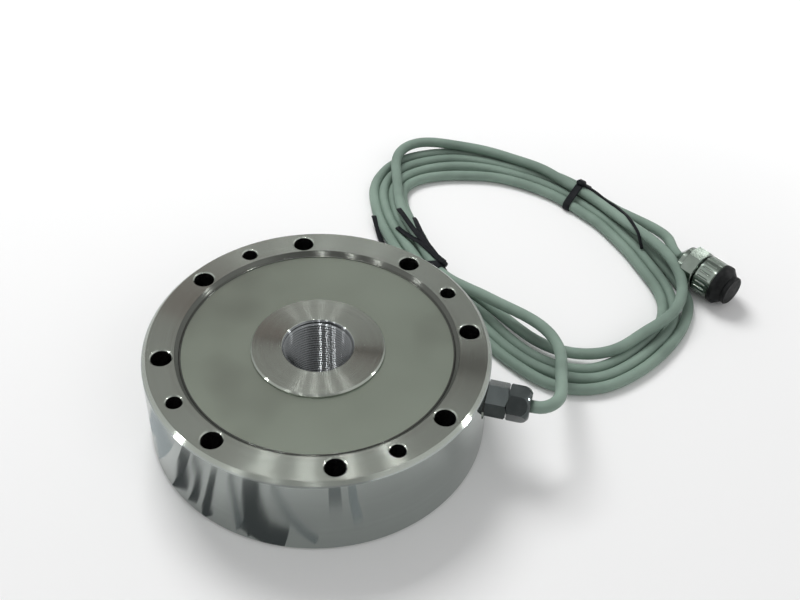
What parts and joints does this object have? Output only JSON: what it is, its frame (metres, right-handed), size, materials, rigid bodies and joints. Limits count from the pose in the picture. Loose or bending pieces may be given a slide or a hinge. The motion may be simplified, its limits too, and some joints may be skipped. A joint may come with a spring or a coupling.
{
  "type": "force torque sensor",
  "caption": "Low-profile round force sensor with a threaded hub, bolt-down ring, cable gland and a coiled signal cable ending in a capped round plug.",
  "frame": {"origin": "centre of the sensor's bottom face, where the ring stands on its mounting surface", "axes": "+Z along the measuring axis, out of the top face; +X out through the cable gland"},
  "size_m": [0.2586, 0.2888, 0.043],
  "materials": {
    "body_steel": "turned and satin-plated steel",
    "diaphragm_steel": "fine matte plating",
    "gland_metal": "nickel-plated, slightly dull",
    "plug_metal": "satin nickel plating",
    "spring_steel": "plain spring steel",
    "cable_jacket": "smooth pale grey-green jacket",
    "tie_black": "black coated tie",
    "cap_black": "black moulded cap",
    "insert_black": "black moulded insulator",
    "claw_plastic": "dark moulded clamping insert",
    "seal_rubber": "black sealing rubber",
    "contact_gold": "gold-plated contacts",
    "gauge_foil": "foil on an amber carrier",
    "board_green": "green laminate",
    "resistor_black": "black chip resistors",
    "copper_wire": "thin enamelled wire",
    "core_cream": "insulated cores"
  },
  "bodies": {
    "sensor": {"sensor_body": "body_steel", "top_diaphragm": "diaphragm_steel", "bottom_diaphragm": "diaphragm_steel", "strain_gauge_1": "gauge_foil", "strain_gauge_2": "gauge_foil", "strain_gauge_3": "gauge_foil", "strain_gauge_4": "gauge_foil", "strain_gauge_5": "gauge_foil", "strain_gauge_6": "gauge_foil", "strain_gauge_7": "gauge_foil", "strain_gauge_8": "gauge_foil", "gauge_leads": "copper_wire", "wiring_board": "board_green", "trim_resistors": "resistor_black", "cable_cores": "core_cream", "cable_end": "cable_jacket", "gland_washer": "seal_rubber", "gland_body": "gland_metal", "gland_seal": "seal_rubber", "gland_claw": "claw_plastic", "gland_nut": "gland_metal", "cable_lead": "cable_jacket", "cable_coil": "cable_jacket", "cable_tail": "cable_jacket", "tie_near": "tie_black", "tie_near_ends": "tie_black", "tie_far": "tie_black", "tie_far_end": "tie_black", "clamp_nut": "plug_metal", "clamp_seal": "seal_rubber", "backshell": "plug_metal", "plug_shell": "plug_metal", "retaining_clip": "spring_steel", "plug_insert": "insert_black", "plug_contacts": "contact_gold"},
    "coupling_ring": {"coupling_ring": "plug_metal"},
    "dust_cap": {"dust_cap": "cap_black"}
  },
  "joints": [
    {"name": "coupling_turn", "type": "hinge", "parent": "sensor", "child": "coupling_ring", "pos_m": [0.1575, 0.1364, 0.0104], "axis": [0.8241, -0.5664, 0], "continuous": true},
    {"name": "cap_pull", "type": "slide", "parent": "coupling_ring", "child": "dust_cap", "axis": [0.8241, -0.5664, 0], "range_m": [0, 0.02]}
  ]
}
